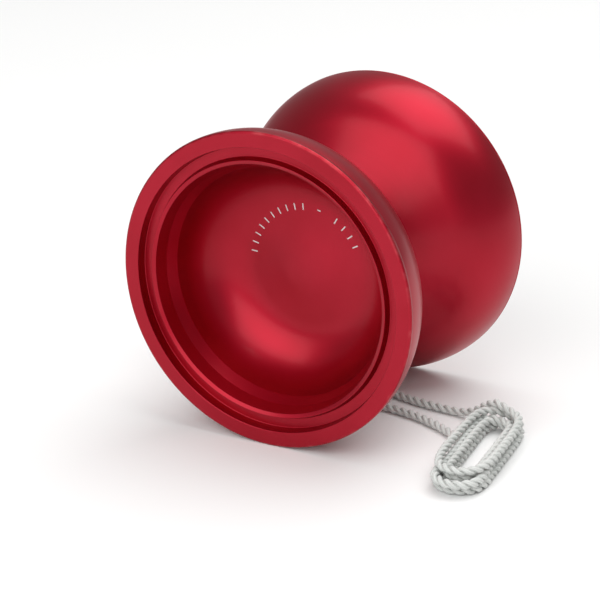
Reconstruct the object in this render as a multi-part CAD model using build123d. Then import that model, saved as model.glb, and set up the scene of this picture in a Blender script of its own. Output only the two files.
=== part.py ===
from build123d import *
import os
from math import acos, atan2, degrees, hypot, radians, sqrt, tan

# A full-size metal yo-yo with its string.
# The frame: origin at the middle of the bearing, spin axis along +Y, +Z up.
# The front half faces -Y, and the yo-yo stands on the rims of its two halves.
# Lengths are in millimetres. In a profile, r is the distance from the spin axis and s is the
# distance from the mid-plane, so both halves come from one profile.

# ---- overall sizes ----
diameter = 55.0
overall_width = 42.0
string_gap = 4.4

# ---- outer wall of a half ----
rim_edge_radius = 0.4
wall_arc_radius = 14.5
gap_shoulder_width = 2.2
gap_shoulder_rise = 0.25
gap_shoulder_blend = 3.0

# ---- cup in the face of a half: rim, groove, ridge, two steps and a bowl ----
rim_face_width = 2.75
groove_depth = 1.8
groove_width = 1.75
groove_draft = 0.2
ridge_drop = 0.6
ridge_width = 0.65
ridge_slope = 0.35
ridge_draft = 0.4
upper_step_depth = 3.3
upper_step_draft = 0.65
lower_step_depth = 5.2
lower_step_draft = 0.95
bowl_wall_depth = 7.2
bowl_wall_draft = 0.3
bowl_valley_radius = 10.2
web_thickness = 4.1
axle_hole_cover = 1.4

# ---- bearing: quarter-inch bore, half-inch outside, with shields ----
bearing_bore_radius = 3.175
bearing_outer_radius = 6.35
bearing_width = 4.7625
ball_radius = 0.794
ball_count = 8
raceway_clearance = 0.02
race_edge_break = 0.2
inner_land_drop = 0.5125
inner_land_width = 3.3
inner_shoulder_drop = 0.15
outer_land_rise = 0.5375
shield_seat_rise = 0.45
shield_thickness = 0.15
shield_inset = 0.38
shield_bore_clearance = 0.12
snap_ring_thickness = 0.18
snap_ring_width = 0.45
snap_ring_opening_deg = 28.0
snap_groove_depth = 0.2
snap_groove_width = 0.2
cage_thickness = 0.6
cage_width = 2.7
pocket_clearance = 0.03
small_clearance = 0.05

# ---- seats in the gap side of a half ----
post_clearance = 0.015
post_tip_gap = 0.15
post_shoulder_inset = 0.145
race_side_clearance = 0.35
race_rim_clearance = 0.4
seat_lip_width = 0.45
pad_width = 2.2
pad_thickness = 1.2
pad_clearance = 0.05
pad_inset = 0.05

# ---- axle: a headless M4 stud with a hexagon socket, drawn at its thread's outer size ----
axle_radius = 2.0
axle_length = 10.0
axle_clearance = 0.05
axle_end_room = 0.5
axle_chamfer = 0.35
socket_across_flats = 2.0
socket_depth = 1.8

# ---- string ----
string_diameter = 1.5
loop_strand_diameter = 1.2
string_touch = 0.05
string_start_drop = 0.4
hank_length = 29.0
hank_width = 9.4
hank_section_width = 3.2
hank_height = 4.0
hank_rounding = 1.2
hank_centre = (34.5, -10.8)
hank_direction_deg = 98.0
stowed_length = 28.0
stowed_width = 19.0
stowed_section_width = 7.3
stowed_height = 3.1
stowed_rounding = 1.0
stowed_centre = (-14.2, 0.0)
stowed_direction_deg = 0.0
knot_length = 4.6
knot_diameter = 3.4
knot_rounding = 1.2
knot_centre = (-23.2, 10.7)
finger_loop_length = 24.0
finger_loop_width = 9.0
finger_loop_direction_deg = 100.0

# ---- sizes worked out from those above ----
half_width = overall_width / 2
outer_radius = diameter / 2
half_gap = string_gap / 2
floor_z = -outer_radius
bearing_half_width = bearing_width / 2
pitch_radius = (bearing_bore_radius + bearing_outer_radius) / 2
raceway_radius = ball_radius + raceway_clearance
inner_land_radius = pitch_radius - inner_land_drop
inner_shoulder_radius = inner_land_radius - inner_shoulder_drop
outer_land_radius = pitch_radius + outer_land_rise
shield_seat_radius = outer_land_radius + shield_seat_rise
shield_outer_face = bearing_half_width - shield_inset
shield_inner_face = shield_outer_face - shield_thickness
post_radius = bearing_bore_radius - post_clearance
post_shoulder_radius = inner_shoulder_radius - post_shoulder_inset
seat_radius = bearing_outer_radius + race_rim_clearance
seat_floor = bearing_half_width + race_side_clearance
pad_inner_radius = seat_radius + seat_lip_width + pad_clearance
pad_outer_radius = pad_inner_radius + pad_width
pad_face = half_gap + pad_inset
pad_floor = pad_face + pad_thickness
foot_radius = pad_outer_radius + pad_clearance + gap_shoulder_width
foot_height = half_gap + gap_shoulder_rise
axle_bore_radius = axle_radius + axle_clearance
axle_hole_end = axle_length / 2 + axle_end_room
bowl_valley = half_gap + web_thickness
bowl_centre = axle_hole_end + axle_hole_cover
string_radius = string_diameter / 2
loop_strand_radius = loop_strand_diameter / 2
bearing_loop_radius = bearing_outer_radius + string_touch + loop_strand_radius
string_start_z = -bearing_loop_radius - string_start_drop
string_floor_z = floor_z + string_radius + string_touch

# The free string hangs out of the gap, lands between the two rims and runs to the hank beside them.
string_lead_points = [
    (0.0, 0.0, string_start_z),
    (0.35, 0.1, -13.9),
    (1.5, 0.4, -20.4),
    (4.8, 0.8, -25.4),
    (10.6, 0.6, string_floor_z),
    (17.2, -0.4, string_floor_z),
    (23.6, -2.9, string_floor_z),
    (29.3, -6.5, string_floor_z),
]

# From the far end of that hank it runs back between the rims to the hank stowed under the yo-yo.
string_link_points = [
    (31.0, 2.6, string_floor_z),
    (25.4, 4.0, string_floor_z),
    (19.2, 4.4, string_floor_z),
    (12.8, 5.4, string_floor_z),
    (6.6, 7.4, string_floor_z),
    (0.6, 8.4, string_floor_z),
    (-5.4, 8.95, string_floor_z),
]


# ---- turned shapes ----
def turned(*outline, arc=360.0):
    """A solid of revolution about the spin axis, from the edges of its closed (r, s) outline."""
    with BuildSketch() as section:
        with BuildLine():
            for edge in outline:
                add(edge)
        make_face()
    return revolve(section.sketch, Axis.Y, arc)


def turned_ring(inner_radius, outer_radius_of_ring, low, high, arc=360.0):
    """A plain ring between two radii and two distances along the spin axis."""
    corners = [
        (inner_radius, low),
        (outer_radius_of_ring, low),
        (outer_radius_of_ring, high),
        (inner_radius, high),
    ]
    return turned(Polyline(*corners, close=True), arc=arc)


def front_of(solid):
    """The mirror image of a back-side solid in the mid-plane."""
    return mirror(solid, about=Plane.XZ)


# ---- the two halves ----
def flank_edges():
    """The outside of a half, from the pad groove over the flank to the rim face."""
    centre_r = outer_radius - wall_arc_radius
    centre_s = half_width - rim_edge_radius
    reach = hypot(foot_radius - centre_r, foot_height - centre_s)
    sweep = atan2(centre_s - foot_height, foot_radius - centre_r) - acos(wall_arc_radius / reach)
    arc_start = Vector(centre_r, centre_s) + Vector(wall_arc_radius, 0).rotate(Axis.Z, -degrees(sweep))
    arc_end = Vector(outer_radius, centre_s)
    face_edge = Vector(outer_radius - rim_edge_radius, half_width)
    shoulder_start = (pad_outer_radius + pad_clearance, half_gap)
    return [
        FilletPolyline(shoulder_start, (foot_radius, foot_height), arc_start, radius=[gap_shoulder_blend]),
        RadiusArc(arc_start, arc_end, -wall_arc_radius),
        RadiusArc(arc_end, face_edge, -rim_edge_radius),
    ]


def cup_edges():
    """The cup, from the outer edge of the rim face down to the middle of the bowl."""
    r = outer_radius - rim_face_width
    steps = [(outer_radius - rim_edge_radius, 0.0), (r, 0.0)]
    r -= groove_draft
    steps.append((r, groove_depth))
    r -= groove_width
    steps.append((r, groove_depth))
    r -= ridge_draft
    steps.append((r, ridge_drop))
    r -= ridge_width
    steps.append((r, ridge_drop + ridge_slope))
    r -= upper_step_draft
    steps.append((r, upper_step_depth))
    r -= lower_step_draft
    steps.append((r, lower_step_depth))
    r -= bowl_wall_draft
    steps.append((r, bowl_wall_depth))
    bowl_edge = (r, half_width - bowl_wall_depth)
    valley = (bowl_valley_radius, bowl_valley)
    dome_middle = (bowl_valley_radius / 2, (bowl_valley + bowl_centre) / 2)
    return [
        Polyline([(step_r, half_width - depth) for step_r, depth in steps]),
        TangentArc(valley, bowl_edge, tangent=(1, 0)),
        TangentArc(valley, dome_middle, tangent=(-1, 0)),
        TangentArc((0, bowl_centre), dome_middle, tangent=(1, 0)),
    ]


def gap_edges():
    """The gap side: axle hole, bearing post, bearing recess and pad groove."""
    return [
        Polyline(
            (0, bowl_centre),
            (0, axle_hole_end),
            (axle_bore_radius, axle_hole_end),
            (axle_bore_radius, post_tip_gap),
            (post_radius, post_tip_gap),
            (post_radius, bearing_half_width),
            (post_shoulder_radius, bearing_half_width),
            (post_shoulder_radius, seat_floor),
            (seat_radius, seat_floor),
            (seat_radius, half_gap),
            (seat_radius + seat_lip_width, half_gap),
            (seat_radius + seat_lip_width, pad_floor),
            (pad_outer_radius + pad_clearance, pad_floor),
            (pad_outer_radius + pad_clearance, half_gap),
        )
    ]


def half():
    """The back half, one turned piece of metal."""
    return turned(*gap_edges(), *flank_edges(), *cup_edges())


def response_pad():
    """The back half's response pad, a flat silicone ring in its groove."""
    return turned_ring(pad_inner_radius, pad_outer_radius, pad_face, pad_floor)


def axle_stud():
    """The stud that screws into both halves, with a hexagon socket in its front end."""
    stud = Rot(90, 0, 0) * Cylinder(axle_radius, axle_length)
    stud = chamfer(stud.edges().filter_by(GeomType.CIRCLE), axle_chamfer)
    hexagon = RegularPolygon(socket_across_flats / 2, 6, major_radius=False)
    socket = Pos(0, -axle_length / 2, 0) * Rot(90, 0, 0) * extrude(hexagon, -socket_depth)
    return stud - socket


# ---- bearing ----
def raceway_half_width(land_radius):
    """How far along the axis the raceway's groove reaches where it meets a land."""
    return sqrt(raceway_radius**2 - (pitch_radius - land_radius) ** 2)


def bearing_inner_race():
    """The inner race, gripped between the posts of the two halves."""
    edge = raceway_half_width(inner_land_radius)
    side = [
        (inner_land_radius, edge),
        (inner_land_radius, inner_land_width / 2),
        (inner_shoulder_radius, inner_land_width / 2),
        (inner_shoulder_radius, bearing_half_width),
        (bearing_bore_radius, bearing_half_width),
    ]
    other_side = [(r, -s) for r, s in reversed(side)]
    groove_bottom = (pitch_radius - raceway_radius, 0)
    return turned(Polyline(side + other_side), ThreePointArc(other_side[-1], groove_bottom, side[0]))


def bearing_outer_race():
    """The outer race, which the string is looped around."""
    edge = raceway_half_width(outer_land_radius)
    groove_radius = shield_seat_radius + snap_groove_depth
    side = [
        (outer_land_radius, edge),
        (outer_land_radius, shield_inner_face),
        (shield_seat_radius, shield_inner_face),
        (shield_seat_radius, shield_outer_face),
        (groove_radius, shield_outer_face),
        (groove_radius, shield_outer_face + snap_groove_width),
        (shield_seat_radius, shield_outer_face + snap_groove_width),
        (shield_seat_radius, bearing_half_width),
        (bearing_outer_radius - race_edge_break, bearing_half_width),
        (bearing_outer_radius, bearing_half_width - race_edge_break),
    ]
    other_side = [(r, -s) for r, s in reversed(side)]
    groove_bottom = (pitch_radius + raceway_radius, 0)
    return turned(Polyline(side + other_side), ThreePointArc(other_side[-1], groove_bottom, side[0]))


def ball_angle(number):
    """The angle about the spin axis of a ball, the first one half a pitch from +X."""
    return (number + 0.5) * 360 / ball_count


def bearing_ball(number):
    """One ball, in its place on the pitch circle."""
    return Rot(0, -ball_angle(number), 0) * Pos(pitch_radius, 0, 0) * Sphere(ball_radius)


def bearing_cage():
    """The cage: a ring with a round pocket for each ball."""
    middle = (inner_land_radius + outer_land_radius) / 2
    ring = turned_ring(
        middle - cage_thickness / 2,
        middle + cage_thickness / 2,
        -cage_width / 2,
        cage_width / 2,
    )
    pocket = Pos(middle, 0, 0) * Rot(0, 90, 0) * Cylinder(ball_radius + pocket_clearance, 2 * cage_thickness)
    for number in range(ball_count):
        ring -= Rot(0, -ball_angle(number), 0) * pocket
    return ring


def bearing_shield():
    """The back shield, a thin washer seated in the outer race."""
    return turned_ring(
        inner_shoulder_radius + shield_bore_clearance,
        shield_seat_radius - small_clearance,
        shield_inner_face,
        shield_outer_face,
    )


def snap_ring():
    """The back snap ring, an open ring in the outer race's groove that holds the shield."""
    outside = shield_seat_radius + snap_groove_depth - small_clearance
    low = shield_outer_face + (snap_groove_width - snap_ring_thickness) / 2
    return turned_ring(
        outside - snap_ring_width,
        outside,
        low,
        low + snap_ring_thickness,
        arc=360 - snap_ring_opening_deg,
    )


# ---- string ----
def bearing_loop():
    """The end of the string that goes round the outer race."""
    return Rot(90, 0, 0) * Torus(bearing_loop_radius, loop_strand_radius)


def corner_radii(points):
    """The largest arc for each corner of a route: 0.45 of its shorter run over tan(half turn)."""
    radii = []
    for before, corner, after in zip(points, points[1:], points[2:]):
        run_in = Vector(*corner) - Vector(*before)
        run_out = Vector(*after) - Vector(*corner)
        half_turn = radians(run_in.get_angle(run_out)) / 2
        radii.append(0.45 * min(run_in.length, run_out.length) / tan(half_turn))
    return radii


def string_run(name, points):
    """An uncoiled stretch of string: straight runs joined by tangent arcs."""
    radii = corner_radii(points)
    path = FilletPolyline(*points, radius=radii)
    section = Plane(path @ 0, z_dir=path % 0) * Circle(string_radius)
    tube = sweep(section, path=path)
    print(name, "radii", [round(radius, 1) for radius in radii])
    print(name, "length", round(path.length, 1))
    print(name, "over section times length", round(tube.volume / (section.area * path.length), 4))
    return tube


def flat_loop(length, width, section_face):
    """A section swept round a stadium that lies along X in the XY plane."""
    straight = length - width
    corners = [(-straight / 2, width / 2), (straight / 2, width / 2)]
    path = Polyline(*corners)
    path += ThreePointArc(corners[1], (length / 2, 0), (straight / 2, -width / 2))
    path += Line((straight / 2, -width / 2), (-straight / 2, -width / 2))
    path += ThreePointArc((-straight / 2, -width / 2), (-length / 2, 0), corners[0])
    start = Plane((0, width / 2, 0), x_dir=(0, 1, 0), z_dir=(1, 0, 0))
    return sweep(start * section_face, path=path)


def string_hank():
    """The outer shape of the loose hank beside the yo-yo: an oval ring of strands on the floor."""
    section = RectangleRounded(hank_section_width, hank_height, hank_rounding)
    ring = flat_loop(hank_length - hank_section_width, hank_width - hank_section_width, section)
    placed = Pos(*hank_centre, floor_z + hank_height / 2) * Rot(0, 0, hank_direction_deg)
    return placed * ring


def string_stowed_hank():
    """The outer shape of the flat hank between the two rims, under the yo-yo."""
    section = RectangleRounded(stowed_section_width, stowed_height, stowed_rounding)
    ring = flat_loop(stowed_length - stowed_section_width, stowed_width - stowed_section_width, section)
    placed = Pos(*stowed_centre, floor_z + stowed_height / 2) * Rot(0, 0, stowed_direction_deg)
    return placed * ring


def string_knot():
    """The knot that closes the finger loop, next to the stowed hank."""
    knot = Rot(0, 90, 0) * Cylinder(knot_diameter / 2, knot_length)
    knot = fillet(knot.edges().filter_by(GeomType.CIRCLE), knot_rounding)
    placed = Pos(*knot_centre, floor_z + knot_diameter / 2) * Rot(0, 0, finger_loop_direction_deg)
    return placed * knot


def string_finger_loop():
    """The loop for the finger, laid flat on the floor from the knot."""
    loop = flat_loop(finger_loop_length, finger_loop_width, Circle(string_radius))
    start = Pos(*knot_centre, string_floor_z) * Rot(0, 0, finger_loop_direction_deg)
    return start * Pos((finger_loop_length + knot_length) / 2 + string_radius, 0, 0) * loop


# ---- the whole part ----
def all_nodes():
    """Every node's name and solid."""
    nodes = {
        "back_half": half(),
        "front_half": front_of(half()),
        "response_pad_back": response_pad(),
        "response_pad_front": front_of(response_pad()),
        "axle_stud": axle_stud(),
        "bearing_inner_race": bearing_inner_race(),
        "bearing_outer_race": bearing_outer_race(),
        "bearing_cage": bearing_cage(),
        "bearing_shield_back": bearing_shield(),
        "bearing_shield_front": front_of(bearing_shield()),
        "snap_ring_back": snap_ring(),
        "snap_ring_front": front_of(snap_ring()),
        "string_bearing_loop": bearing_loop(),
        "string_lead": string_run("string lead", string_lead_points),
        "string_hank": string_hank(),
        "string_link": string_run("string link", string_link_points),
        "string_stowed_hank": string_stowed_hank(),
        "string_knot": string_knot(),
        "string_finger_loop": string_finger_loop(),
    }
    for number in range(ball_count):
        nodes[f"bearing_ball_{number + 1}"] = bearing_ball(number)
    return nodes


os.makedirs("parts", exist_ok=True)
for name, solid in all_nodes().items():
    export_step(solid, f"parts/{name}.step")
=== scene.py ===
import random
from math import acos, atan2, cos, hypot, pi, radians, sin, sqrt, tan

import bmesh
import bpy
import numpy as np
from mathutils import Matrix, Vector


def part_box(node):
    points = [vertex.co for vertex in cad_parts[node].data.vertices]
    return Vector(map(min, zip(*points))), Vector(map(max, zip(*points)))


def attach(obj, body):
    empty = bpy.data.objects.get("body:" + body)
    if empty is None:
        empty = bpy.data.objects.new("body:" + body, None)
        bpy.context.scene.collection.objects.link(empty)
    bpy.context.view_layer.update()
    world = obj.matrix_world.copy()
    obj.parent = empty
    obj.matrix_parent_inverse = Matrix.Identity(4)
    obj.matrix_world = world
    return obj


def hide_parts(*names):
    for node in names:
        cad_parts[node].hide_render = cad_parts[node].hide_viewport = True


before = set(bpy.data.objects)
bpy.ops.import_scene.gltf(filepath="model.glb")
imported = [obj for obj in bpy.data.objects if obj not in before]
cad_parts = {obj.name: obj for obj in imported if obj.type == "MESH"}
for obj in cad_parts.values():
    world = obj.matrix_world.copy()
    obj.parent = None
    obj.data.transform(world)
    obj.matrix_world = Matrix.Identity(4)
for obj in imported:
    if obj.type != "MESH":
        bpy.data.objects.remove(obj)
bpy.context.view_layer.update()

# A full-size metal yo-yo with its string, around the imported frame.
# Lengths below are in millimetres and are turned into metres when a mesh is made.
# The spin axis is Y, the front half faces -Y, and the yo-yo stands on Z = floor_z.
# In a profile, r is the distance from the spin axis and s the distance from the mid-plane.
MM = 0.001

# ---- sizes that the looks share with the frame ----
half_low, half_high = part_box("back_half")
outer_radius = half_high.z / MM
half_width = half_high.y / MM
half_gap = 2.2
floor_z = -outer_radius

# ---- outside of a half ----
rim_edge_radius = 0.4
wall_arc_radius = 14.5
gap_shoulder_width = 2.2
gap_shoulder_rise = 0.25
gap_shoulder_blend = 3.0

# ---- cup in the face of a half ----
rim_face_width = 2.75
groove_depth = 1.8
groove_width = 1.75
groove_draft = 0.2
ridge_drop = 0.6
ridge_width = 0.65
ridge_slope = 0.35
ridge_draft = 0.4
upper_step_depth = 3.3
upper_step_draft = 0.65
lower_step_depth = 5.2
lower_step_draft = 0.95
bowl_wall_depth = 7.2
bowl_wall_draft = 0.3
bowl_valley_radius = 10.2
bowl_valley = 6.3
bowl_centre = 6.9
edge_break = 0.14
tick_inner = 9.9
tick_outer = 11.1

# ---- gap side of a half ----
axle_bore_radius = 2.05
axle_hole_end = 5.5
post_radius = 3.16
post_tip = 0.15
post_shoulder_radius = 3.955
seat_radius = 6.75
seat_lip_width = 0.45
seat_floor = 2.73125
bearing_half_width = 2.38125
pad_inner_radius = 7.25
pad_outer_radius = 9.45
pad_face = 2.25
pad_floor = 3.45
pad_clearance = 0.05

# ---- axle stud ----
axle_radius = 2.0
axle_length = 10.0
axle_chamfer = 0.35
thread_pitch = 0.7
thread_depth = 0.38
socket_across_flats = 2.0
socket_depth = 1.8

# ---- string ----
string_diameter = 1.5
string_radius = string_diameter / 2
loop_strand_radius = 0.6
bearing_loop_radius = 7.0
string_floor_z = floor_z + string_radius + 0.08
string_lay = 3.3
ply_offset = 0.5
ply_half_depth = 0.54
ply_half_width = 0.68
loop_strand_lay = 2.6
fuzz_per_mm = 5.0
fuzz_radius = 0.016
fuzz_root = 0.05
fuzz_lengths = (0.25, 0.75)
column_pitch = 1.45
layer_pitch = 1.4
knot_centre = (-23.2, 10.7)
knot_length = 4.6
knot_diameter = 3.4
finger_loop_length = 24.0
finger_loop_width = 9.0
finger_loop_direction_deg = 100.0

# The hank beside the yo-yo: five loose turns. Each turn is (column, layer), column 0 outermost.
loose_hank = {
    "centre": (34.5, -10.8), "direction_deg": 98.0, "half_width": 3.95, "half_straight": 9.8, "loose": 1.9,
    "turns": [(0, 0), (1, 0), (1, 1), (0, 1), (0, 2)],
}
# The flat hank stowed between the rims: ten turns in two layers.
stowed_hank = {
    "centre": (-14.2, 0.0), "direction_deg": 0.0, "half_width": 8.75, "half_straight": 4.5, "loose": 0.25,
    "turns": [(0, 0), (1, 0), (2, 0), (3, 0), (4, 0), (4, 1), (3, 1), (2, 1), (1, 1), (0, 1)],
}

# The free string hangs out of the gap, lands between the two rims and runs to the loose hank.
string_lead_points = [
    (0.0, 0.0, -7.4),
    (0.35, 0.1, -13.9),
    (1.5, 0.4, -20.4),
    (4.8, 0.8, -25.4),
    (10.6, 0.6, string_floor_z),
    (17.2, -0.4, string_floor_z),
    (23.6, -2.9, string_floor_z),
    (29.3, -6.5, string_floor_z),
]
# From the loose hank it runs back under the yo-yo to the stowed hank.
string_link_points = [
    (31.0, 2.6, string_floor_z + 4.1),
    (25.4, 4.0, string_floor_z),
    (19.2, 4.4, string_floor_z),
    (12.8, 5.4, string_floor_z),
    (6.6, 7.4, string_floor_z),
    (0.6, 8.4, string_floor_z),
    (-5.4, 8.95, string_floor_z),
]
# From the stowed hank it crosses its own turns into the knot.
string_way_out = [
    (-12.0, 8.75, string_floor_z + 2.85),
    (-17.0, 8.75, string_floor_z + 2.85),
    (-20.6, 8.9, string_floor_z + 2.8),
    (-22.7, 9.6, string_floor_z + 1.9),
    (-23.1, 10.4, floor_z + knot_diameter / 2),
    (-23.25, 11.0, floor_z + knot_diameter / 2),
]


# ---- camera ----
def add_camera():
    """A long lens to the right of the front face and above it, turned a little about its own axis."""
    azimuth, elevation, roll = radians(30.376), radians(20.498), radians(-1.507)
    right = Vector((cos(azimuth), sin(azimuth), 0))
    back = Vector((cos(elevation) * sin(azimuth), -cos(elevation) * cos(azimuth), sin(elevation)))
    up = back.cross(right)
    camera = bpy.data.objects.new("camera", bpy.data.cameras.new("camera"))
    rolled_right = cos(roll) * right + sin(roll) * up
    rolled_up = cos(roll) * up - sin(roll) * right
    turn = Matrix((rolled_right, rolled_up, back)).transposed()
    place = Vector((180.45, -311.62, 128.25)) * MM
    camera.matrix_world = Matrix.Translation(place) @ turn.to_4x4()
    camera.data.sensor_width = 36
    camera.data.lens = 133.12
    camera.data.shift_x = -0.0261
    camera.data.shift_y = -0.0180
    camera.data.clip_start = 0.01
    camera.data.clip_end = 20
    bpy.context.scene.collection.objects.link(camera)
    bpy.context.scene.camera = camera


add_camera()


# ---- meshes ----
def mesh_object(name, vertices, faces, uvs=None):
    """A smooth mesh object from vertices in millimetres."""
    mesh = bpy.data.meshes.new(name)
    mesh.from_pydata([tuple(c * MM for c in v) for v in vertices], [], faces)
    if uvs is not None:
        layer = mesh.uv_layers.new(name="UVMap")
        flat = [uv for face in uvs for uv in face]
        layer.data.foreach_set("uv", [c for uv in flat for c in uv])
    mesh.shade_smooth()
    mesh.validate()
    made = bpy.data.objects.new(name, mesh)
    bpy.context.scene.collection.objects.link(made)
    return made


def finish_piece(piece, body, material, slot, *nodes):
    """Rides the piece on its body, gives it its material and hides the CAD parts it stands in for."""
    piece.data.materials.clear()
    piece.data.materials.append(material)
    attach(piece, body)
    if nodes:
        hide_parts(*nodes)
    return piece


def arc_points(centre, radius, start, end, count):
    """Points of an arc in the (r, s) plane, with angles in radians from the r axis."""
    return [
        (centre[0] + radius * cos(start + (end - start) * i / count),
         centre[1] + radius * sin(start + (end - start) * i / count))
        for i in range(count + 1)
    ]


def rounded(corners, steps=4, guard=0.03):
    """An outline through (r, s, radius) corners, each rounded, with guard points beside each arc."""
    points = []
    for before, corner, after in zip(corners, corners[1:], corners[2:]):
        here, radius = Vector(corner[:2]), corner[2]
        back_way = Vector(before[:2]) - here
        on_way = Vector(after[:2]) - here
        half_turn = (pi - back_way.angle(on_way)) / 2
        if radius == 0 or half_turn < 0.01:
            points.append(tuple(here))
            continue
        reach = min(radius * tan(half_turn), 0.45 * back_way.length, 0.45 * on_way.length)
        start = here + back_way.normalized() * reach
        end = here + on_way.normalized() * reach
        points.append(tuple(here + back_way.normalized() * (reach + guard)))
        for i in range(steps + 1):
            t = i / steps
            weight = cos(half_turn)
            a, b, c = (1 - t) ** 2, 2 * t * (1 - t) * weight, t * t
            points.append(tuple((start * a + here * b + end * c) / (a + b + c)))
        points.append(tuple(here + on_way.normalized() * (reach + guard)))
    return points


def ringed(rings, poles=(None, None)):
    """A skin over rings of equal count, closed at each end by a point where one is given."""
    count = len(rings[0])
    vertices = [point for ring in rings for point in ring]
    faces = []
    for k in range(len(rings) - 1):
        for i in range(count):
            j = (i + 1) % count
            faces.append((k * count + i, k * count + j, (k + 1) * count + j, (k + 1) * count + i))
    for pole, first, turned_over in ((poles[0], 0, True), (poles[1], (len(rings) - 1) * count, False)):
        if pole is None:
            continue
        vertices.append(pole)
        tip = len(vertices) - 1
        for i in range(count):
            j = (i + 1) % count
            faces.append((first + j, first + i, tip) if turned_over else (first + i, first + j, tip))
    return vertices, faces


def lathe(name, outline, side=1, segments=288, closed=False):
    """A turned shape from (r, s) points; side is 1 for the back and -1 for the front."""
    outline = list(outline) + ([outline[0]] if closed else [])
    poles = [None, None]
    for end, index in ((0, 0), (1, -1)):
        if outline[index][0] < 1e-6:
            poles[end] = (0.0, side * outline[index][1], 0.0)
    kept = [p for p in outline if p[0] >= 1e-6]
    if side < 0:
        turn = [2 * pi * i / segments for i in range(segments)]
    else:
        turn = [-2 * pi * i / segments for i in range(segments)]
    rings = [[(r * cos(a), side * s, r * sin(a)) for a in turn] for r, s in kept]
    vertices, faces = ringed(rings, poles)
    made = mesh_object(name, vertices, faces)
    if closed:
        weld(made)
    return made


def weld(made):
    """Joins the doubled first and last ring of a closed outline."""
    work = bmesh.new()
    work.from_mesh(made.data)
    bmesh.ops.remove_doubles(work, verts=work.verts, dist=1e-7)
    work.to_mesh(made.data)
    work.free()
    made.data.shade_smooth()


# ---- materials ----
class Nodes:
    """A new material's node tree, with short calls for the few node kinds used here."""

    def __init__(self, name):
        self.material = bpy.data.materials.new(name)
        self.material.use_nodes = True
        self.tree = self.material.node_tree
        self.shader = self.tree.nodes["Principled BSDF"] if "Principled BSDF" in self.tree.nodes else None
        if self.shader is None:
            self.shader = self.add("ShaderNodeBsdfPrincipled")
            out = self.add("ShaderNodeOutputMaterial")
            self.link(self.shader.outputs[0], out.inputs[0])
        self.place = self.add("ShaderNodeTexCoord").outputs["Object"]

    def add(self, kind, **settings):
        node = self.tree.nodes.new(kind)
        for key, value in settings.items():
            setattr(node, key, value)
        return node

    def link(self, source, target):
        self.tree.links.new(source, target)

    def feed(self, socket, value):
        if isinstance(value, bpy.types.NodeSocket):
            self.link(value, socket)
        else:
            socket.default_value = value

    def math(self, operation, a, b=0.0, clamp=False):
        node = self.add("ShaderNodeMath", operation=operation, use_clamp=clamp)
        self.feed(node.inputs[0], a)
        self.feed(node.inputs[1], b)
        return node.outputs[0]

    def noise(self, scale, detail=3.0, roughness=0.5, vector=None):
        node = self.add("ShaderNodeTexNoise")
        self.link(vector if vector is not None else self.place, node.inputs["Vector"])
        node.inputs["Scale"].default_value = scale
        node.inputs["Detail"].default_value = detail
        node.inputs["Roughness"].default_value = roughness
        return node.outputs["Fac"]

    def range(self, value, low, high, to_low, to_high):
        node = self.add("ShaderNodeMapRange")
        for socket, given in zip(node.inputs, (value, low, high, to_low, to_high)):
            self.feed(socket, given)
        return node.outputs[0]

    def mix(self, share, a, b):
        node = self.add("ShaderNodeMix", data_type="RGBA")
        self.feed(node.inputs["Factor"], share)
        for socket, given in ((node.inputs[6], a), (node.inputs[7], b)):
            self.feed(socket, (*given, 1) if isinstance(given, tuple) else given)
        return node.outputs[2]

    def bump(self, height, strength, distance, normal=None):
        node = self.add("ShaderNodeBump")
        self.link(height, node.inputs["Height"])
        node.inputs["Strength"].default_value = strength
        node.inputs["Distance"].default_value = distance
        if normal is not None:
            self.link(normal, node.inputs["Normal"])
        return node.outputs["Normal"]

    def axis_parts(self):
        """Distance from the spin axis and place along it, both in metres."""
        split = self.add("ShaderNodeSeparateXYZ")
        self.link(self.place, split.inputs[0])
        x, y, z = split.outputs
        squares = self.math("ADD", self.math("MULTIPLY", x, x), self.math("MULTIPLY", z, z))
        return self.math("SQRT", squares), y

    def stretched(self, radial, around):
        """A vector that turns with the part: fine across the turning marks and long around them."""
        radius, along = self.axis_parts()
        join = self.add("ShaderNodeCombineXYZ")
        self.link(self.math("MULTIPLY", radius, radial), join.inputs[0])
        self.link(self.math("MULTIPLY", along, radial), join.inputs[1])
        scaled = self.add("ShaderNodeVectorMath", operation="SCALE")
        self.link(self.place, scaled.inputs[0])
        scaled.inputs["Scale"].default_value = around
        total = self.add("ShaderNodeVectorMath", operation="ADD")
        self.link(join.outputs[0], total.inputs[0])
        self.link(scaled.outputs[0], total.inputs[1])
        return total.outputs[0]

    def set(self, **values):
        for key, value in values.items():
            socket = self.shader.inputs[key.replace("_", " ")]
            self.feed(socket, value)


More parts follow.
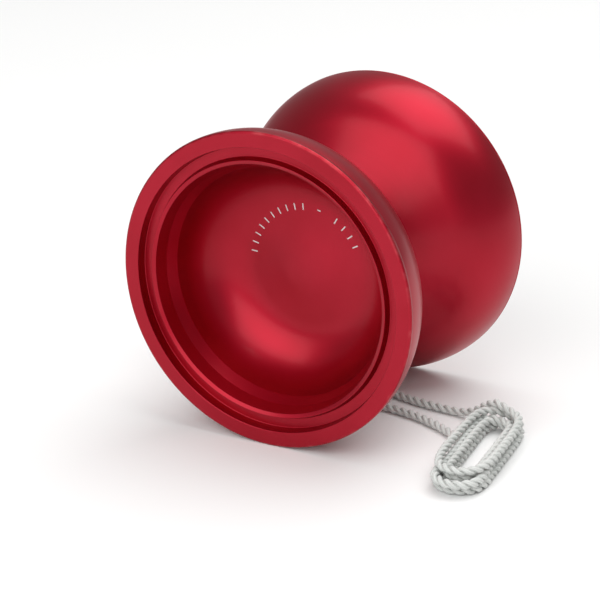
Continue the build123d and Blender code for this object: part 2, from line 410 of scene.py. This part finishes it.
def anodised_red():
    """Satin red anodised aluminium: turned all round, a little worn along its outer edges."""
    made = Nodes("anodised_red")
    turning = made.noise(1.0, detail=2.0, vector=made.stretched(9000.0, 60.0))
    cloud = made.noise(70.0, detail=2.0)
    speck = made.noise(2600.0, detail=2.0, roughness=0.6)
    base = made.mix(made.range(cloud, 0.35, 0.65, 0.0, 1.0), (0.36, 0.005, 0.018), (0.41, 0.008, 0.025))
    radius, along = made.axis_parts()
    outside = made.range(radius, (outer_radius - 0.55) * MM, outer_radius * MM, 0.0, 1.0)
    at_face = made.range(made.math("ABSOLUTE", along), (half_width - 1.0) * MM, half_width * MM, 0.0, 1.0)
    edge = made.math("MULTIPLY", outside, at_face)
    rub = made.math("MULTIPLY", edge, made.range(made.noise(420.0, detail=4.0), 0.5, 0.72, 0.0, 0.55))
    made.set(Base_Color=made.mix(rub, base, (0.62, 0.12, 0.13)))
    made.set(Metallic=1.0)
    fine_rough = made.range(turning, 0.3, 0.7, 0.43, 0.47)
    rough = made.math("ADD", fine_rough, made.range(cloud, 0.3, 0.7, -0.02, 0.02))
    made.set(Roughness=rough)
    made.set(Coat_Weight=0.30, Coat_Roughness=0.22, Coat_IOR=1.5)
    fine = made.bump(turning, 0.10, 0.000002)
    made.set(Normal=made.bump(speck, 0.12, 0.000002, fine))
    return made.material


def mark_silver():
    """Bare bright marks, where the colour layer was taken off."""
    made = Nodes("mark_silver")
    grain = made.noise(3000.0, detail=3.0)
    made.set(Base_Color=made.mix(grain, (0.62, 0.58, 0.58), (0.80, 0.77, 0.77)))
    made.set(Metallic=0.35, Roughness=made.range(grain, 0.3, 0.7, 0.5, 0.7))
    made.set(Normal=made.bump(grain, 0.3, 0.00001))
    return made.material


def steel(name, colour, rough, scale, tint=0.08):
    """Bearing and fastener steel with fine turning marks and a little colour variation."""
    made = Nodes(name)
    turning = made.noise(1.0, detail=2.0, vector=made.stretched(scale, 90.0))
    cloud = made.noise(500.0, detail=3.0)
    darker = tuple(c * (1 - tint) for c in colour)
    made.set(Base_Color=made.mix(made.range(cloud, 0.3, 0.7, 0.0, 1.0), darker, colour))
    made.set(Metallic=1.0, Roughness=made.range(turning, 0.3, 0.7, rough * 0.8, rough * 1.25))
    made.set(Normal=made.bump(turning, 0.2, 0.000004))
    return made.material


def silicone_white():
    """Milky response silicone with a fine matt skin."""
    made = Nodes("silicone_white")
    cloud = made.noise(300.0, detail=3.0)
    skin = made.noise(5000.0, detail=2.0)
    made.set(Base_Color=made.mix(cloud, (0.70, 0.69, 0.66), (0.82, 0.81, 0.78)))
    made.set(Roughness=made.range(skin, 0.3, 0.7, 0.42, 0.60), Subsurface_Weight=0.25)
    made.set(Subsurface_Radius=(0.002, 0.0018, 0.0015), Subsurface_Scale=0.6, IOR=1.41)
    made.set(Normal=made.bump(skin, 0.25, 0.00001))
    return made.material


def string_white():
    """White spun polyester: yarns wound about each ply, with fine fibres along them, and painted shade in the
    grooves between the yarns.
    """
    made = Nodes("string_white")
    uv = made.add("ShaderNodeTexCoord").outputs["UV"]
    split = made.add("ShaderNodeSeparateXYZ")
    made.link(uv, split.inputs[0])
    along, around, _ = split.outputs
    phase = made.math("ADD", made.math("MULTIPLY", around, 6.0), made.math("MULTIPLY", along, 1.1))
    yarn = made.math("SINE", made.math("MULTIPLY", phase, 2 * pi))
    yarn = made.range(yarn, -1.0, 1.0, 0.0, 1.0)
    join = made.add("ShaderNodeCombineXYZ")
    made.link(made.math("MULTIPLY", phase, 3.0), join.inputs[0])
    made.link(made.math("MULTIPLY", along, 0.8), join.inputs[1])
    fibre = made.noise(1.0, detail=4.0, roughness=0.6, vector=join.outputs[0])
    cloud = made.noise(160.0, detail=3.0)
    # Painted shade: the colour darkens towards the dark grey in the grooves between the yarns; the fibre
    # noise adds a little real tone variation.
    painted_groove_shade = made.range(yarn, 0.0, 0.6, 0.72, 1.0)
    groove_shade_and_fibre_tone = made.math("MULTIPLY", painted_groove_shade, made.range(fibre, 0.3, 0.7, 0.9, 1.0))
    tone = made.mix(made.range(cloud, 0.3, 0.7, 0.0, 1.0), (0.61, 0.63, 0.61), (0.71, 0.72, 0.70))
    made.set(Base_Color=made.mix(groove_shade_and_fibre_tone, (0.40, 0.42, 0.39), tone))
    made.set(Roughness=made.range(fibre, 0.3, 0.7, 0.75, 0.95), Sheen_Weight=0.2, Sheen_Roughness=0.4)
    made.set(Subsurface_Weight=0.12, Subsurface_Radius=(0.001, 0.001, 0.001), Subsurface_Scale=0.5)
    coarse = made.bump(yarn, 0.6, 0.00004)
    made.set(Normal=made.bump(fibre, 0.5, 0.00002, coarse))
    return made.material


red = anodised_red()
silver_marks = mark_silver()
silicone = silicone_white()
string_fibre = string_white()
axle_steel = steel("axle_black_steel", (0.16, 0.16, 0.17), 0.34, 7000.0)
race_steel = steel("race_steel", (0.72, 0.72, 0.71), 0.16, 9000.0)
ball_steel = steel("ball_steel", (0.80, 0.80, 0.80), 0.08, 3000.0, 0.03)
cage_steel = steel("cage_steel", (0.64, 0.60, 0.52), 0.30, 5000.0)
shield_steel = steel("shield_steel", (0.66, 0.67, 0.68), 0.24, 8000.0)


# ---- the string: centreline, plies and pieces ----
def nurbs_line(points, resolution=10):
    """The smooth line, in millimetres, of one NURBS spline with these control points."""
    curve = bpy.data.curves.new("string_route", "CURVE")
    curve.dimensions = "3D"
    curve.resolution_u = resolution
    spline = curve.splines.new("NURBS")
    spline.points.add(len(points) - 1)
    for point, place in zip(spline.points, points):
        point.co = (*(c * MM for c in place), 1)
    spline.order_u = 3
    spline.use_endpoint_u = True
    route = bpy.data.objects.new("string_route", curve)
    bpy.context.scene.collection.objects.link(route)
    bpy.context.view_layer.update()
    mesh = bpy.data.meshes.new_from_object(route)
    line = np.array([v.co for v in mesh.vertices], float) / MM
    bpy.data.objects.remove(route)
    bpy.data.meshes.remove(mesh)
    bpy.data.curves.remove(curve)
    return line


def evenly(line, step):
    """The line again, with its points a step apart."""
    gaps = np.linalg.norm(np.diff(line, axis=0), axis=1)
    keep = np.concatenate(([True], gaps > 1e-7))
    line = line[keep]
    along = np.concatenate(([0], np.cumsum(np.linalg.norm(np.diff(line, axis=0), axis=1))))
    count = max(3, int(round(along[-1] / step)) + 1)
    places = np.linspace(0, along[-1], count)
    return np.stack([np.interp(places, along, line[:, k]) for k in range(3)], axis=1), places


def frames(line):
    """Two unit vectors across the line at each point, carried along without twist."""
    ahead = np.gradient(line, axis=0)
    ahead /= np.linalg.norm(ahead, axis=1)[:, None]
    start = np.cross(ahead[0], (0.0, 0.0, 1.0))
    if np.linalg.norm(start) < 0.1:
        start = np.cross(ahead[0], (1.0, 0.0, 0.0))
    across = [start / np.linalg.norm(start)]
    for direction in ahead[1:]:
        flat = across[-1] - direction * np.dot(across[-1], direction)
        across.append(flat / np.linalg.norm(flat))
    across = np.array(across)
    return across, np.cross(ahead, across)


def twisted(name, line, radius, lay, step=0.42, sides=12, plies=2, seed=3):
    """Plies twisted about the line, each a soft oval strand with fine fibres, as one mesh, and the line."""
    line, places = evenly(line, step)
    side, over = frames(line)
    ahead = np.cross(side, over)
    rng = np.random.default_rng(seed)
    wander = np.interp(places, np.linspace(0, places[-1], 40), rng.uniform(-0.5, 0.5, 40))
    swell = 1 + 0.06 * np.interp(places, np.arange(0, places[-1] + 3, 3.0)[: int(places[-1] / 3) + 2],
                                 rng.uniform(-1, 1, int(places[-1] / 3) + 2))
    vertices, faces, uvs = [], [], []
    count = len(line)
    for ply in range(plies):
        turn = 2 * pi * (places / lay + ply / plies) + wander
        outward = np.cos(turn)[:, None] * side + np.sin(turn)[:, None] * over
        around = -np.sin(turn)[:, None] * side + np.cos(turn)[:, None] * over
        middle = line + outward * (ply_offset * radius * swell)[:, None]
        first = len(vertices)
        for k in range(count):
            for i in range(sides):
                a = 2 * pi * i / sides
                reach = outward[k] * (cos(a) * ply_half_depth * radius)
                reach = reach + around[k] * (sin(a) * ply_half_width * radius)
                vertices.append(tuple(middle[k] + reach * swell[k]))
        for k in range(count - 1):
            for i in range(sides):
                j = (i + 1) % sides
                low, high = first + k * sides, first + (k + 1) * sides
                faces.append((low + i, low + j, high + j, high + i))
                u0, u1 = places[k], places[k + 1]
                v0, v1 = i / sides, (i + 1) / sides
                uvs.append(((u0, v0), (u0, v1), (u1, v1), (u1, v0)))
        last = first + (count - 1) * sides
        faces.append(tuple(first + i for i in reversed(range(sides))))
        faces.append(tuple(last + i for i in range(sides)))
        uvs.append(tuple((places[0], i / sides) for i in reversed(range(sides))))
        uvs.append(tuple((places[-1], i / sides) for i in range(sides)))
    # Fine fibres stand off the plies, each a closed three-sided spike.
    skin_vertices = len(vertices)
    for _ in range(int(fuzz_per_mm * places[-1])):
        root = int(rng.integers(0, skin_vertices))
        k = (root % (count * sides)) // sides
        base = np.array(vertices[root])
        outward = (base - line[k]) / np.linalg.norm(base - line[k])
        lean = outward * rng.uniform(0.35, 0.9) + ahead[k] * rng.uniform(-1, 1) + rng.uniform(-0.3, 0.3, 3)
        lean /= np.linalg.norm(lean)
        tip = base + lean * rng.uniform(*fuzz_lengths)
        tip[2] = max(tip[2], floor_z + 0.05)
        across = np.cross(lean, outward + (0.1, 0.2, 0.3))
        across /= np.linalg.norm(across)
        sunk = base - outward * fuzz_root
        first = len(vertices)
        vertices += [
            tuple(sunk + across * fuzz_radius),
            tuple(sunk - across * fuzz_radius),
            tuple(base - outward * 0.02 + np.cross(lean, across) * fuzz_radius),
            tuple(tip),
        ]
        faces += [(first, first + 1, first + 3), (first + 1, first + 2, first + 3),
                  (first + 2, first, first + 3), (first, first + 2, first + 1)]
        uvs += [((places[k], 0.3),) * 3] * 4
    return mesh_object(name, vertices, faces, uvs), line


# One turn of a hank: its kind of point, where, and how far it has stepped to the next column and layer.
turn_plan = (
    ("upper", 0.22, 0.0, 0.0), ("upper", -0.60, 0.0, 0.0),
    ("bend", 108, 0.0, 0.0), ("bend", 144, 0.0, 0.0), ("bend", 180, 0.0, 0.0),
    ("bend", 216, 0.0, 0.0), ("bend", 252, 0.0, 0.0),
    ("lower", -0.50, 0.0, 0.0), ("lower", 0.50, 0.0, 0.0),
    ("bend", -72, 0.0, 0.0), ("bend", -36, 0.0, 0.15), ("bend", 0, 0.15, 0.6),
    ("bend", 36, 0.55, 1.0), ("bend", 72, 1.0, 1.0),
)


def hank_points(hank, seed):
    """Control points of a hank's turns: ovals that step over by one strand at the far end."""
    rng = random.Random(seed)
    turns = hank["turns"] + [(hank["turns"][-1][0], hank["turns"][-1][1] + 1)]
    loose = [
        {"length": rng.uniform(-0.8, 0.5), "bow": rng.uniform(-0.4, 0.4), "slide": rng.uniform(-0.5, 0.5)}
        for _ in turns
    ]
    angle = radians(hank["direction_deg"])
    straight = hank["half_straight"]
    points = []
    for index, (column, layer) in enumerate(hank["turns"]):
        after, this, following = turns[index + 1], loose[index], loose[index + 1]
        for kind, value, over, up in turn_plan:
            across = hank["half_width"] - column_pitch * (column + (after[0] - column) * over)
            high = layer + (after[1] - layer) * up
            weight = hank["loose"] * (0.4 + 0.3 * layer)
            give = {key: weight * (this[key] + (following[key] - this[key]) * over) for key in this}
            if kind == "bend":
                reach = across / cos(radians(18))
                end = straight + give["length"]
                x = (end if cos(radians(value)) > 0 else -end) + reach * cos(radians(value))
                y = reach * sin(radians(value))
            else:
                x = straight * value
                y = (across + give["bow"]) * (1 if kind == "upper" else -1)
            x += give["slide"]
            z = string_floor_z + layer_pitch * high + hank["loose"] * rng.uniform(-0.03, 0.08)
            points.append((hank["centre"][0] + x * cos(angle) - y * sin(angle),
                           hank["centre"][1] + x * sin(angle) + y * cos(angle), z))
    return points


def knot_line():
    """The knot: the string wound twice about itself, from the hank's side to the loop's side."""
    angle = radians(finger_loop_direction_deg)
    along = Vector((cos(angle), sin(angle), 0))
    side = Vector((-sin(angle), cos(angle), 0))
    middle = Vector((*knot_centre, floor_z + knot_diameter / 2))
    wrap = knot_diameter / 2 - string_radius
    points = []
    turns, per_turn = 2.3, 14
    count = int(turns * per_turn)
    for i in range(count + 1):
        a = 2 * pi * i / per_turn
        x = (i / count - 0.5) * (knot_length - string_diameter)
        points.append(tuple(middle + along * x + side * (wrap * cos(a)) + Vector((0, 0, wrap * sin(a)))))
    return points


def on_knot(x, y, z):
    """A point given from the knot's middle, x along its way out and z up from the floor."""
    angle = radians(finger_loop_direction_deg)
    return (knot_centre[0] + x * cos(angle) - y * sin(angle),
            knot_centre[1] + x * sin(angle) + y * cos(angle),
            floor_z + z)


def add_string():
    """The string's pieces: the loop on the bearing, the long string, its knot and the finger loop."""
    # The loose hank is left at the tip of its last turn, two points before that turn would close.
    route = string_lead_points + hank_points(loose_hank, 11)[:-2]
    route += string_link_points + hank_points(stowed_hank, 5) + string_way_out
    string, path = twisted("string", nurbs_line(route), string_radius, string_lay)
    finish_piece(string, "string_side", string_fibre, "string_fibre",
                 "string_lead", "string_hank", "string_link", "string_stowed_hank")

    knot, _ = twisted("string_knot_wound", nurbs_line(knot_line()), string_radius, string_lay, step=0.3)
    finish_piece(knot, "string_side", string_fibre, "string_fibre", "string_knot")

    width = finger_loop_width / 2
    far = knot_length / 2 + finger_loop_length
    loop_points = [
        on_knot(0.6, -0.3, 1.6), on_knot(2.6, -0.8, 1.2), on_knot(6.0, -2.6, 0.9),
        on_knot(11.0, -width + 0.2, 0.9), on_knot(17.0, -width + 0.5, 0.9),
        on_knot(22.5, -width + 1.4, 0.9), on_knot(far - 0.8, -1.6, 0.9), on_knot(far - 0.7, 1.3, 0.9),
        on_knot(22.7, width - 1.0, 0.9), on_knot(16.0, width - 0.9, 0.9),
        on_knot(10.5, width - 0.6, 0.9), on_knot(5.6, 2.2, 0.9),
        on_knot(2.6, 0.9, 1.4), on_knot(0.6, 0.3, 2.2),
    ]
    loop, _ = twisted("string_loop_for_finger", nurbs_line(loop_points), string_radius, string_lay)
    finish_piece(loop, "string_side", string_fibre, "string_fibre", "string_finger_loop")

    ring = [
        (bearing_loop_radius * sin(2 * pi * i / 180), 0.12 * sin(6 * pi * i / 180),
         -bearing_loop_radius * cos(2 * pi * i / 180))
        for i in range(181)
    ]
    on_bearing, _ = twisted("string_loop_on_bearing", np.array(ring), loop_strand_radius,
                            loop_strand_lay, step=0.3)
    finish_piece(on_bearing, "string_side", string_fibre, "string_fibre", "string_bearing_loop")


add_string()


# ---- the two halves ----
def half_outline():
    """The (r, s) outline of a half, from the bowl's middle round the outside to the axle hole."""
    rise = bowl_centre - bowl_valley
    dome_reach = bowl_valley_radius / 2
    dome_radius = (dome_reach**2 + (rise / 2) ** 2) / rise
    outline = [(0.0, bowl_centre)]
    for i in range(1, 13):
        r = dome_reach * i / 12
        outline.append((r, bowl_centre - dome_radius + sqrt(dome_radius**2 - r * r)))
    for i in range(1, 13):
        r = dome_reach * (1 - i / 12)
        outline.append((bowl_valley_radius - r, bowl_valley + dome_radius - sqrt(dome_radius**2 - r * r)))
    r = outer_radius - rim_face_width
    corners = [(outer_radius, half_width, rim_edge_radius), (r, half_width, edge_break)]
    steps = (
        (groove_draft, groove_depth, edge_break),
        (groove_width, groove_depth, edge_break),
        (ridge_draft, ridge_drop, 0.1),
        (ridge_width, ridge_drop + ridge_slope, 0.1),
        (upper_step_draft, upper_step_depth, 0.2),
        (lower_step_draft, lower_step_depth, 0.2),
        (bowl_wall_draft, bowl_wall_depth, 0.0),
    )
    for draft, depth, radius in steps:
        r -= draft
        corners.append((r, half_width - depth, radius))
    bowl_edge = corners[-1][:2]
    across, up = bowl_edge[0] - bowl_valley_radius, bowl_edge[1] - bowl_valley
    bowl_radius = (across**2 + up**2) / (2 * up)
    sweep = atan2(across, bowl_radius - up)
    outline += arc_points((bowl_valley_radius, bowl_valley + bowl_radius), bowl_radius, -pi / 2,
                          -pi / 2 + sweep, 34)[1:]
    wall_top = (outer_radius, half_width - 3.0, 0.0)
    outline += rounded([*reversed(corners), wall_top])
    outline += outside_outline()
    return outline


def outside_outline():
    """The wall from the rim down to the gap, then the gap side to the axle hole."""
    foot = (pad_outer_radius + pad_clearance + gap_shoulder_width, half_gap + gap_shoulder_rise)
    centre = (outer_radius - wall_arc_radius, half_width - rim_edge_radius)
    reach = hypot(foot[0] - centre[0], foot[1] - centre[1])
    sweep = atan2(centre[1] - foot[1], foot[0] - centre[0]) - acos(wall_arc_radius / reach)
    wall = arc_points(centre, wall_arc_radius, -0.002, -sweep, 40)
    groove_out = pad_outer_radius + pad_clearance
    groove_in = seat_radius + seat_lip_width
    corners = [
        (*wall[-1], 0.0),
        (*foot, gap_shoulder_blend),
        (groove_out, half_gap, edge_break),
        (groove_out, pad_floor, 0.05),
        (groove_in, pad_floor, 0.05),
        (groove_in, half_gap, 0.08),
        (seat_radius, half_gap, 0.08),
        (seat_radius, seat_floor, 0.05),
        (post_shoulder_radius, seat_floor, 0.05),
        (post_shoulder_radius, bearing_half_width, 0.06),
        (post_radius, bearing_half_width, 0.04),
        (post_radius, post_tip, 0.1),
        (axle_bore_radius, post_tip, 0.1),
        (axle_bore_radius, axle_hole_end, 0.05),
        (0.0, axle_hole_end, 0.0),
    ]
    return wall + rounded(corners, steps=5) + [(0.0, axle_hole_end)]


def bowl_height(r):
    """The bowl's s at a radius near its valley."""
    if r >= bowl_valley_radius:
        edge_r = (outer_radius - rim_face_width - groove_draft - groove_width - ridge_draft - ridge_width
                  - upper_step_draft - lower_step_draft - bowl_wall_draft)
        across, up = edge_r - bowl_valley_radius, half_width - bowl_wall_depth - bowl_valley
        radius = (across**2 + up**2) / (2 * up)
        return bowl_valley + radius - sqrt(radius**2 - (r - bowl_valley_radius) ** 2)
    rise, dome_reach = bowl_centre - bowl_valley, bowl_valley_radius / 2
    radius = (dome_reach**2 + (rise / 2) ** 2) / rise
    return bowl_valley + radius - sqrt(radius**2 - (bowl_valley_radius - r) ** 2)


def engraved_ticks():
    """Short radial strokes in an arc on the front bowl: ten, a dash, and four wider apart."""
    strokes = [(174 - 9.0 * i, tick_inner, tick_outer, 0.11) for i in range(10)]
    strokes.append((76.0, 10.4, 10.62, 0.32))
    strokes += [(57 - 10.0 * i, tick_inner, tick_outer, 0.12) for i in range(4)]
    vertices, faces = [], []
    across, along = 3, 6
    lift = 0.012
    for degrees_round, low, high, half_stroke in strokes:
        a = radians(degrees_round)
        first = len(vertices)
        for level in (lift, -0.05):
            for i in range(along + 1):
                r = low + (high - low) * i / along
                for j in range(across + 1):
                    off = half_stroke * (2 * j / across - 1)
                    s = bowl_height(hypot(r, off)) + level
                    vertices.append((r * cos(a) - off * sin(a), -s, r * sin(a) + off * cos(a)))
        row = across + 1
        under = row * (along + 1)
        for i in range(along):
            for j in range(across):
                p = first + i * row + j
                faces.append((p, p + row, p + row + 1, p + 1))
                q = p + under
                faces.append((q, q + 1, q + row + 1, q + row))
        rim = ([i * row for i in range(along + 1)] + [along * row + j for j in range(1, across + 1)]
               + [i * row + across for i in range(along - 1, -1, -1)] + [j for j in range(across - 1, 0, -1)])
        for k, here in enumerate(rim):
            there = rim[(k + 1) % len(rim)]
            faces.append((first + here, first + here + under, first + there + under, first + there))
    return mesh_object("engraved_ticks", vertices, faces)


def add_halves():
    outline = half_outline()
    back = lathe("back_half_turned", outline, side=1)
    finish_piece(back, "back_side", red, "red_anodised", "back_half")
    front = lathe("front_half_turned", outline, side=-1)
    finish_piece(front, "front_side", red, "red_anodised", "front_half")
    ticks = engraved_ticks()
    finish_piece(ticks, "front_side", silver_marks, "red_anodised")


add_halves()


# ---- pads, axle and bearing ----
def add_pads():
    outline = rounded([
        (pad_inner_radius, pad_floor, 0.0),
        (pad_outer_radius, pad_floor, 0.06),
        (pad_outer_radius, pad_face, 0.22),
        (pad_inner_radius, pad_face, 0.22),
        (pad_inner_radius, pad_floor, 0.06),
        (pad_outer_radius, pad_floor, 0.0),
    ])
    for name, side, body, node in (("silicone_pad_back", 1, "back_side", "response_pad_back"),
                                   ("silicone_pad_front", -1, "front_travel", "response_pad_front")):
        pad = lathe(name, outline, side=side, segments=160, closed=True)
        finish_piece(pad, body, silicone, "silicone", node)


def hexagon_radius(angle, across_flats):
    """The radius of a hexagon at an angle, flats across Z."""
    turned = (angle + pi / 6) % (pi / 3) - pi / 6
    return across_flats / 2 / cos(turned)


def add_axle():
    """The threaded stud, with its hexagon socket in the front end."""
    sides, per_pitch = 60, 12
    turn = [2 * pi * i / sides for i in range(sides)]
    end = axle_length / 2

    def ring(y, radius_at):
        return [(radius_at(a) * cos(a), y, radius_at(a) * sin(a)) for a in turn]

    def thread(y):
        fade = min(1.0, max(0.0, (end - abs(y)) / axle_chamfer))
        limit = axle_radius - axle_chamfer * (1 - fade)

        def radius_at(a):
            phase = (y / thread_pitch - a / (2 * pi)) % 1.0
            height = min(1.0, max(0.0, 1.6 * abs(2 * phase - 1) - 0.3))
            return min(limit, axle_radius - thread_depth * height)
        return radius_at

    rings = [
        ring(-end + socket_depth, lambda a: hexagon_radius(a, socket_across_flats)),
        ring(-end + 0.12, lambda a: hexagon_radius(a, socket_across_flats)),
        ring(-end + 0.02, lambda a: hexagon_radius(a, socket_across_flats) + 0.1),
        ring(-end, lambda a: axle_radius - axle_chamfer - 0.02),
    ]
    count = int(axle_length / thread_pitch * per_pitch)
    for i in range(count + 1):
        y = -end + axle_length * i / count
        rings.append(ring(y, thread(y)))
    socket_point, back_point = (0.0, -end + socket_depth + 0.35, 0.0), (0.0, end, 0.0)
    vertices, faces = ringed(rings, (socket_point, back_point))
    stud = mesh_object("axle_stud_threaded", vertices, faces)
    finish_piece(stud, "back_side", axle_steel, "axle_steel", "axle_stud")


def dress(node, material):
    """Gives a CAD node that stays its own material."""
    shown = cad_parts[node]
    shown.data.materials.clear()
    shown.data.materials.append(material)


add_pads()
add_axle()
for node in ("bearing_inner_race", "bearing_outer_race"):
    dress(node, race_steel)
for node in ("bearing_shield_front", "bearing_shield_back", "snap_ring_front", "snap_ring_back"):
    dress(node, shield_steel)
dress("bearing_cage", cage_steel)
for node in sorted(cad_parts):
    if node.startswith("bearing_ball_"):
        dress(node, ball_steel)


# ---- floor and light ----
def add_stage():
    """A plain pale floor."""
    size = 1600.0
    corners = [(-size, -size, floor_z), (size, -size, floor_z), (size, size, floor_z), (-size, size, floor_z)]
    floor = mesh_object("floor", corners, [(0, 1, 2, 3)])
    made = Nodes("floor_pale")
    cloud = made.noise(3.0)
    made.set(Base_Color=made.mix(cloud, (0.86, 0.86, 0.855), (0.88, 0.88, 0.875)), Roughness=0.75)
    floor.data.materials.append(made.material)


def softbox(name, azimuth, elevation, distance, width, height, power, colour=(1, 1, 1)):
    """A soft rectangular light aimed at the yo-yo; azimuth 0 is in front of it, 90 to its right."""
    az, el = radians(azimuth), radians(elevation)
    toward = Vector((cos(el) * sin(az), -cos(el) * cos(az), sin(el)))
    light = bpy.data.lights.new(name, "AREA")
    light.shape = "RECTANGLE"
    light.size, light.size_y, light.energy, light.color = width, height, power, colour
    lamp = bpy.data.objects.new(name, light)
    aim = toward.to_track_quat("Z", "Y").to_matrix().to_4x4()
    lamp.matrix_world = Matrix.Translation(toward * distance) @ aim
    bpy.context.scene.collection.objects.link(lamp)


def add_light():
    world = bpy.data.worlds.new("studio")
    world.use_nodes = True
    back = world.node_tree.nodes["Background"]
    back.inputs["Color"].default_value = (1.0, 1.0, 1.0, 1)
    back.inputs["Strength"].default_value = 0.34
    bpy.context.scene.world = world
    softbox("key", 0, 34, 0.9, 1.1, 0.9, 6.5)
    softbox("top", 150, 72, 1.0, 1.1, 1.1, 9.5)
    bpy.context.scene.view_settings.view_transform = "Standard"


add_stage()
add_light()
